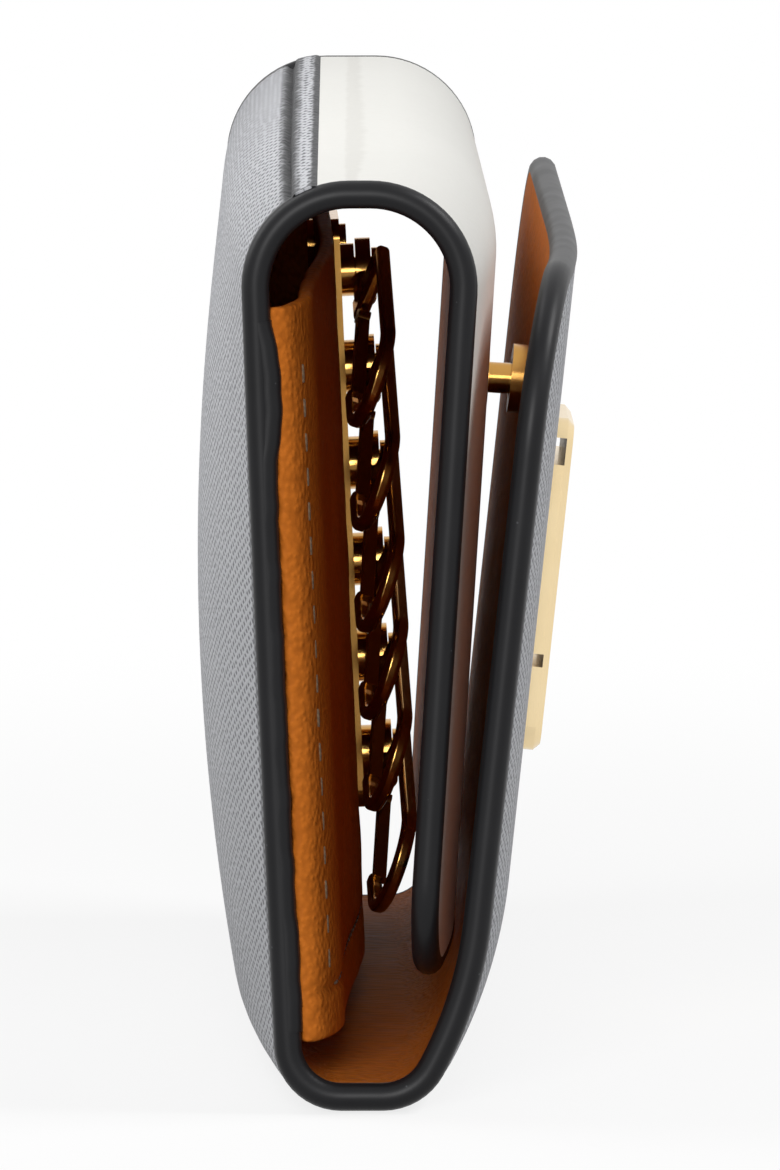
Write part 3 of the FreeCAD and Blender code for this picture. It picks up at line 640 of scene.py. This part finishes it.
def sewing_thread(name, tone):
    """Twisted thread, with painted shade between its turns."""
    shade = tuple(part * 0.6 for part in tone[:3]) + (1.0,)
    mat = Mat(name, Roughness=0.7, Sheen_Weight=0.2)
    place = object_place(mat)
    twist = mat.add("TexWave", {"bands_direction": "DIAGONAL"}, out=1, Vector=place, Scale=1400.0)
    base = mix(mat, twist, tone, shade)
    bump = mat.add("Bump", Height=twist, Strength=0.4, Distance=0.05 * MM)
    return mat.set(Base_Color=base, Normal=bump)


grey_leather = grained_leather("grey_grained_leather")
white_leather = smooth_leather("white_leather")
tan_lining = lining_leather("tan_lining", flat_uv)
tan_pocket = lining_leather("tan_pocket", object_place)
bead_paint = edge_paint("edge_paint")
clasp_gold = polished_metal("champagne_gold", colour(243, 222, 180), colour(232, 206, 158), 0.2)
# A yellower gold than the clasp's for the hooks, their bar and the snap, made darker as painted shade for
# the dim inside of the case.
shade_darkened_hook_gold = polished_metal("shade_darkened_hook_gold", colour(214, 166, 92), colour(182, 132, 66), 0.13)
brown_thread = sewing_thread("brown_thread", colour(112, 88, 62))


def dress(piece, material):
    """Give a piece one material."""
    piece.data.materials.clear()
    piece.data.materials.append(material)


# The wall of the case

def hump(at, middle, spread):
    """1 at a middle, falling away softly to either side."""
    return math.exp(-((at - middle) / spread) ** 2)


# Seam relief, by the distance from the seam
WELT_START, WELT_END, WELT_SLOPE, WELT_HEIGHT = 0.3 * MM, 2.0 * MM, 0.3 * MM, 0.16 * MM
GROOVE_AT, GROOVE_SPREAD, GROOVE_DEPTH = 2.4 * MM, 0.3 * MM, 0.5 * MM
PUCKER_PITCH, PUCKER_SHARE = 2.4 * MM, 0.25


def seam_relief(along, y):
    """The turned edge beside the seam: a raised welt, then a stitched groove."""
    beside_welt = max(WELT_START - along, along - WELT_END, 0.0)
    welt = WELT_HEIGHT * max(0.0, 1 - beside_welt / WELT_SLOPE)
    groove = GROOVE_DEPTH * hump(along, GROOVE_AT, GROOVE_SPREAD)
    pucker = 1 + PUCKER_SHARE * math.sin(2 * math.pi * y / PUCKER_PITCH)
    return (welt - groove) * pucker


# Where each fold begins to turn with its flap, and where it turns fully
LOWER_BLEND = {"start": (-6.0 * MM, 0, 0), "end": (7.86 * MM, 0, -1.386 * MM)}
UPPER_BLEND = {"start": (-0.9 * MM, 0, 0), "end": (3.0 * MM, 0, 0)}
OUTER_FINE_ROWS, INNER_FINE_ROWS = 4.0 * MM, 2.2 * MM
BEAD_RADIUS = 1.06 * MM

# Strips that start at the seam, and strips that start half way up the back
outer_seam_strip = Strip(outside_lower, FLAP_CORNER, OUTER_FINE_ROWS)
inner_seam_strip = Strip(outside_upper, INNER_CORNER, INNER_FINE_ROWS)
lower_strip = Strip(half_lower, FLAP_CORNER)
upper_strip = Strip(half_upper, INNER_CORNER)

outer_leather = folded_strip("outer_leather", outer_seam_strip, 0, LEATHER, relief=seam_relief)
dress(outer_leather, grey_leather)
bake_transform(outer_leather, "case_back", "outer_flap", **LOWER_BLEND)
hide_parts("back_leather", "flap_leather", "back_interlining", "flap_interlining")

inner_leather = folded_strip("inner_leather", inner_seam_strip, 0, LEATHER)
dress(inner_leather, white_leather)
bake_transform(inner_leather, "case_back", "inner_flap", **UPPER_BLEND)
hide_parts("top_leather", "inner_flap_leather", "inner_flap_interlining")

lower_lining = folded_strip("lower_lining", lower_strip, LEATHER, LINING)
dress(lower_lining, tan_lining)
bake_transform(lower_lining, "case_back", "outer_flap", **LOWER_BLEND)
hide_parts("flap_lining", "back_lining")

upper_lining = folded_strip("upper_lining", upper_strip, LEATHER, LINING)
dress(upper_lining, tan_lining)
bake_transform(upper_lining, "case_back", "inner_flap", **UPPER_BLEND)
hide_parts("inner_flap_lining")

lower_bead = edge_bead("lower_edge_bead", lower_strip, BEAD_RADIUS)
dress(lower_bead, bead_paint)
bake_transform(lower_bead, "case_back", "outer_flap", **LOWER_BLEND)
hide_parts("back_edge_coat", "flap_edge_coat")

upper_bead = edge_bead("upper_edge_bead", upper_strip, BEAD_RADIUS)
dress(upper_bead, bead_paint)
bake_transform(upper_bead, "case_back", "inner_flap", **UPPER_BLEND)
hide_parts("inner_flap_edge_coat")


# Slip pocket on the back panel

POCKET_ROLL, POCKET_ROLL_LENGTH, POCKET_EDGE = 3.2 * MM, 12.0 * MM, 0.2 * MM
POCKET_SLOW_RISE = 44 * MM
FAR_FOLD, FAR_CREST = 52.0 * MM, 42.0 * MM
POCKET_COLUMNS, POCKET_ROWS, END_CROWDING = 140, 90, 0.6
POCKET_WALL = POCKET_THICK - 0.1 * MM
POCKET_ROUNDING = 0.35 * MM
HEM_AT, HEM_SPREAD, HEM_DEPTH = 3.9 * MM, 0.35 * MM, 0.3 * MM
SOFT_RATE, SOFT_HEIGHT = 180, 0.12 * MM
RIPPLE_PITCH, RIPPLE_REACH, RIPPLE_HEIGHT, RIPPLE_WANDER = 3.1 * MM, 4 * MM, 0.09 * MM, 3


def soft_step(share):
    """0 up to a share of 0, 1 from a share of 1, with a soft step between."""
    share = min(1.0, max(0.0, share))
    return share * share * (3 - 2 * share)


def pocket_face(y):
    """How far the pocket's face stands off the panel: a rolled near edge, then a slow rise."""
    crest = POCKET_RISE + POCKET_THICK
    if y > 0:
        return POCKET_THICK + POCKET_RISE * soft_step((FAR_FOLD - y) / (FAR_FOLD - FAR_CREST))
    from_edge = min(1.0, max(0.0, (y + HALF_LENGTH - EDGE_COAT) / POCKET_ROLL_LENGTH))
    roll = math.sqrt(1 - (1 - from_edge) ** 2)
    slow = soft_step(y / POCKET_SLOW_RISE + 1)
    return POCKET_EDGE + POCKET_ROLL * roll + (crest - POCKET_EDGE - POCKET_ROLL) * slow


def on_panel(away, along, up):
    """Place in the leaning frame of the back panel's lining."""
    side = Vector((0, along, 0))
    return BACK_END.foot + BACK_END.inward * (WALL + away) + BACK_END.up * up + side


def make_pocket():
    """The pocket panel: a grid laid over the pocket's face, thickened and rounded at its edges."""
    side = HALF_LENGTH - EDGE_COAT
    bpy.ops.object.select_all(action="DESELECT")
    bpy.ops.mesh.primitive_grid_add(x_subdivisions=POCKET_COLUMNS, y_subdivisions=POCKET_ROWS, size=1)
    panel = bpy.context.object
    panel.name = "slip_pocket"
    bpy.ops.object.mode_set(mode="EDIT")
    cage = bmesh.from_edit_mesh(panel.data)
    for vertex in cage.verts:
        along = math.copysign(abs(vertex.co.x * 2) ** END_CROWDING, vertex.co.x) * side
        up = POCKET_FOOT + (vertex.co.y + 0.5) * POCKET_HEIGHT
        hem = hump(up, HEM_AT, HEM_SPREAD)
        soft = noise.noise(Vector((along * SOFT_RATE, up * SOFT_RATE, 0)))
        near_edge = max(0.0, 1 - (along + HALF_LENGTH) / RIPPLE_REACH)
        ripple = math.sin(2 * math.pi * up / RIPPLE_PITCH + RIPPLE_WANDER * soft)
        away = pocket_face(along) + SOFT_HEIGHT * soft - HEM_DEPTH * hem
        away += RIPPLE_HEIGHT * near_edge * ripple
        vertex.co = on_panel(away, along, up)
    bmesh.update_edit_mesh(panel.data)
    bpy.ops.mesh.select_all(action="SELECT")
    cage = bmesh.from_edit_mesh(panel.data)
    cage.normal_update()
    facing = sum((face.normal for face in cage.faces), Vector())
    if facing.dot(BACK_END.inward) < 0:
        bpy.ops.mesh.flip_normals()
    bpy.ops.object.mode_set(mode="OBJECT")
    thicken = panel.modifiers.new("thickness", "SOLIDIFY")
    thicken.thickness = POCKET_WALL
    thicken.offset = -1
    soften = panel.modifiers.new("rounding", "BEVEL")
    soften.width = POCKET_ROUNDING
    soften.segments = 3
    soften.angle_limit = math.radians(60)
    only(panel)
    for modifier in (thicken, soften):
        bpy.ops.object.modifier_apply(modifier=modifier.name)
    bpy.ops.object.shade_smooth_by_angle(angle=PIECE_SMOOTH_ANGLE)
    return panel


pocket = make_pocket()
dress(pocket, tan_pocket)
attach(pocket, "case_back")
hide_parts("pocket_panel")


def join(pieces, name):
    """Join pieces into the first of them."""
    only(pieces[0])
    for piece in pieces[1:]:
        piece.select_set(True)
    bpy.ops.object.join()
    joined = bpy.context.object
    joined.name = name
    return joined


POCKET_BEAD_RADIUS, POCKET_BEAD_STEPS, POCKET_BEAD_SINK = 1.0 * MM, 100, 1.1 * MM
UPPER_SWELLING, UPPER_STEP, UPPER_SPREAD = 0.75 * MM, 90, 9
LOWER_SWELLING, LOWER_STEP, LOWER_SPREAD = 0.2 * MM, 8, 10
SLOW_WAVE, SLOW_WAVE_RATE = 0.05 * MM, 0.61
QUICK_WAVE, QUICK_WAVE_RATE = 0.03 * MM, 1.37


def pocket_bead():
    """The painted edge of the pocket, merged with the wall's and swollen near its two ends."""
    radius = POCKET_BEAD_RADIUS
    ends = []
    for side in (-1, 1):
        points = []
        for i in range(POCKET_BEAD_STEPS + 1):
            up = POCKET_FOOT + radius + (POCKET_HEIGHT - 2 * radius) * i / POCKET_BEAD_STEPS
            away = -POCKET_BEAD_SINK
            away += UPPER_SWELLING * hump(i, UPPER_STEP, UPPER_SPREAD)
            away += LOWER_SWELLING * hump(i, LOWER_STEP, LOWER_SPREAD)
            away += SLOW_WAVE * math.sin(i * SLOW_WAVE_RATE)
            away += QUICK_WAVE * math.sin(i * QUICK_WAVE_RATE + 1)
            points.append(on_panel(away, side * (HALF_LENGTH - radius), up))
        ends.append(paint_bead(f"pocket_bead_{side}", points, radius, roundness=4))
    return join(ends, "pocket_edge_bead")


pocket_edge = pocket_bead()
dress(pocket_edge, bead_paint)
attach(pocket_edge, "case_back")
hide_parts("pocket_edge_coat")


def stitch_row(name, places, directions, length, radius):
    """Short stitches, one modelled and the rest copied, joined into one piece."""
    bpy.ops.object.select_all(action="DESELECT")
    bpy.ops.mesh.primitive_uv_sphere_add(segments=8, ring_count=6, radius=1)
    first = bpy.context.object
    bpy.ops.object.mode_set(mode="EDIT")
    cage = bmesh.from_edit_mesh(first.data)
    for vertex in cage.verts:
        x, y, z = vertex.co
        on_middle_ring = abs(z) < 0.01
        end = 0 if on_middle_ring else math.copysign(length / 2 - radius, z)
        vertex.co = Vector((x * radius, y * radius, z * radius + end))
    bmesh.update_edit_mesh(first.data)
    bpy.ops.object.mode_set(mode="OBJECT")
    stitches = []
    for place, direction in zip(places, directions):
        mesh = first.data.copy()
        turn = Vector((0, 0, 1)).rotation_difference(direction).to_matrix().to_4x4()
        mesh.transform(Matrix.Translation(place) @ turn)
        copy = bpy.data.objects.new(name, mesh)
        bpy.context.scene.collection.objects.link(copy)
        stitches.append(copy)
    bpy.data.objects.remove(first)
    row = join(stitches, name)
    only(row)
    bpy.ops.object.shade_smooth()
    return row


STITCH_PITCH, STITCH_LENGTH, STITCH_RADIUS = 2.6 * MM, 1.4 * MM, 0.13 * MM
SIDE_ROW_AT, SIDE_ROW_START, SIDE_ROW_MARGIN = -51.4 * MM, 6.0 * MM, 7 * MM
HEM_ROW_START, HEM_ROW_COUNT, HEM_ROW_SINK = -48 * MM, 38, 0.25 * MM


def pocket_stitches():
    """A row up the pocket near its front edge, and a row along its lower hem."""
    places, directions = [], []
    for i in range(int((POCKET_HEIGHT - SIDE_ROW_MARGIN) / STITCH_PITCH)):
        up = POCKET_FOOT + SIDE_ROW_START + i * STITCH_PITCH
        places.append(on_panel(pocket_face(SIDE_ROW_AT), SIDE_ROW_AT, up))
        directions.append(BACK_END.up)
    for i in range(HEM_ROW_COUNT):
        along = HEM_ROW_START + i * STITCH_PITCH
        rise = pocket_face(along + MM) - pocket_face(along - MM)
        places.append(on_panel(pocket_face(along) - HEM_ROW_SINK, along, HEM_AT))
        slope = Vector((0, 2 * MM, 0)) + BACK_END.inward * rise
        directions.append(slope.normalized())
    return stitch_row("pocket_stitches", places, directions, STITCH_LENGTH, STITCH_RADIUS)


pocket_thread = pocket_stitches()
dress(pocket_thread, brown_thread)
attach(pocket_thread, "case_back")


# Metal parts keep their CAD shapes

for name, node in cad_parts.items():
    if name.startswith(("hook", "bar_", "snap")):
        # Painted shade: these parts sit inside the case and take the darkened gold.
        dress(node, shade_darkened_hook_gold)
    elif name.startswith("clasp"):
        dress(node, clasp_gold)


# Studio

FLOOR_SIZE, FLOOR_GAP = 4.0, 0.2 * MM
FLOOR_DARK, FLOOR_PALE = (0.1, 0.1, 0.1, 1), (0.9, 0.9, 0.9, 1)
NEAR_GLOW, GLOW_NEAR, GLOW_FAR = 0.8, 0.05, 0.25
WHITE = (1, 1, 1, 1)
SKY_FILL = 0.21


def studio_floor():
    """Pale floor that keeps the case's soft shadow."""
    bpy.ops.object.select_all(action="DESELECT")
    bpy.ops.mesh.primitive_plane_add(size=FLOOR_SIZE, location=(0, 0, -FLOOR_GAP))
    floor = bpy.context.object
    floor.name = "studio_floor"
    mat = Mat("pale_floor", Roughness=0.9, Specular_IOR_Level=0.1)
    rays = mat.add("LightPath").socket.node.outputs
    camera_ray, glossy_ray = Value(mat, rays["Is Camera Ray"]), Value(mat, rays["Is Glossy Ray"])
    seen = camera_ray.math("MAXIMUM", camera_ray, glossy_ray)
    mat.set(Base_Color=mix(mat, seen, FLOOR_DARK, FLOOR_PALE))
    far = mat.add("VectorMath", {"operation": "LENGTH"}, out=1, _0=object_place(mat))
    glow_share = seen * (NEAR_GLOW + far.smooth(GLOW_NEAR, GLOW_FAR) * (1 - NEAR_GLOW))
    glow = mat.add("Emission", Color=WHITE, Strength=1.0)
    mixed = mat.add("MixShader", Fac=glow_share, _1=Value(mat, mat.shader.outputs[0]), _2=glow)
    output = mat.tree.nodes["Material Output"]
    mat.tree.links.new(mixed.socket, output.inputs["Surface"])
    floor.data.materials.append(mat.material)


def lamp(name, place, target, size, power):
    """A soft rectangular lamp turned towards a target."""
    light = bpy.data.lights.new(name, "AREA")
    light.shape = "RECTANGLE"
    light.size, light.size_y = size
    light.energy = power
    holder = bpy.data.objects.new(name, light)
    bpy.context.scene.collection.objects.link(holder)
    holder.location = place
    holder.rotation_euler = (Vector(target) - Vector(place)).to_track_quat("-Z", "Y").to_euler()


def studio_world():
    """White where it is seen or mirrored, and a plain soft fill elsewhere."""
    world = bpy.data.worlds.new("studio")
    bpy.context.scene.world = world
    world.use_nodes = True
    nodes, links = world.node_tree.nodes, world.node_tree.links
    backdrop = nodes["Background"]
    backdrop.inputs["Color"].default_value = WHITE
    rays = nodes.new("ShaderNodeLightPath")
    seen = nodes.new("ShaderNodeMath")
    seen.operation = "MAXIMUM"
    mirrored = nodes.new("ShaderNodeMath")
    mirrored.operation = "MAXIMUM"
    links.new(rays.outputs["Is Glossy Ray"], mirrored.inputs[0])
    links.new(rays.outputs["Is Transmission Ray"], mirrored.inputs[1])
    links.new(rays.outputs["Is Camera Ray"], seen.inputs[0])
    links.new(mirrored.outputs[0], seen.inputs[1])
    level = nodes.new("ShaderNodeMapRange")
    level.inputs["To Min"].default_value = SKY_FILL
    level.inputs["To Max"].default_value = 1.0
    links.new(seen.outputs[0], level.inputs["Value"])
    links.new(level.outputs[0], backdrop.inputs["Strength"])


studio_floor()
studio_world()
CASE_MIDDLE, BACK_UPPER = (0, 0, 0.04), (-0.01, 0, 0.05)
lamp("left_front", place=(-0.16, -1.0, 0.3), target=CASE_MIDDLE, size=(0.4, 0.4), power=6.6)
lamp("left_top", place=(-0.10, -0.01, 0.145), target=BACK_UPPER, size=(0.06, 0.14), power=0.12)
lamp("right_top", place=(0.35, -0.05, 0.4), target=CASE_MIDDLE, size=(0.2, 0.2), power=1.5)


PHOTO_HEIGHT, MIDDLE_COLUMN, MIDDLE_ROW = 1170, 390, 585
FOOT_COLUMN, FOOT_ROW = 355, 1112
PIXEL_AT_NEAR_END, FOCAL_PIXELS = 0.075 * MM, 18667.0
CAMERA_TILT, CAMERA_TURN = 6.58, -1.067
SENSOR_WIDTH = 36.0


def heading_on_floor(degrees):
    """Unit vector along the floor, 0 along +X and 90 along +Y."""
    return Vector((cosine(degrees), sine(degrees), 0))


def photo_camera():
    """Camera at the photograph's place: it looks almost along the folds from a little above."""
    right = heading_on_floor(CAMERA_TURN)
    level = heading_on_floor(CAMERA_TURN + 90)
    ahead = level * cosine(CAMERA_TILT) - Vector((0, 0, sine(CAMERA_TILT)))
    up = right.cross(ahead)
    near_foot = Vector((0, -HALF_LENGTH, 0))
    scale = PIXEL_AT_NEAR_END
    place = near_foot - right * (FOOT_COLUMN - MIDDLE_COLUMN) * scale
    place -= up * (MIDDLE_ROW - FOOT_ROW) * scale
    place -= ahead * FOCAL_PIXELS * scale
    data = bpy.data.cameras.new("photo_camera")
    data.lens = SENSOR_WIDTH * FOCAL_PIXELS / PHOTO_HEIGHT
    data.clip_start, data.clip_end = 0.01, 20
    camera = bpy.data.objects.new("photo_camera", data)
    bpy.context.scene.collection.objects.link(camera)
    camera.matrix_world = Matrix((
        (right.x, up.x, -ahead.x, place.x),
        (right.y, up.y, -ahead.y, place.y),
        (right.z, up.z, -ahead.z, place.z),
        (0, 0, 0, 1),
    ))
    bpy.context.scene.camera = camera


photo_camera()
bpy.context.scene.view_settings.view_transform = "Standard"
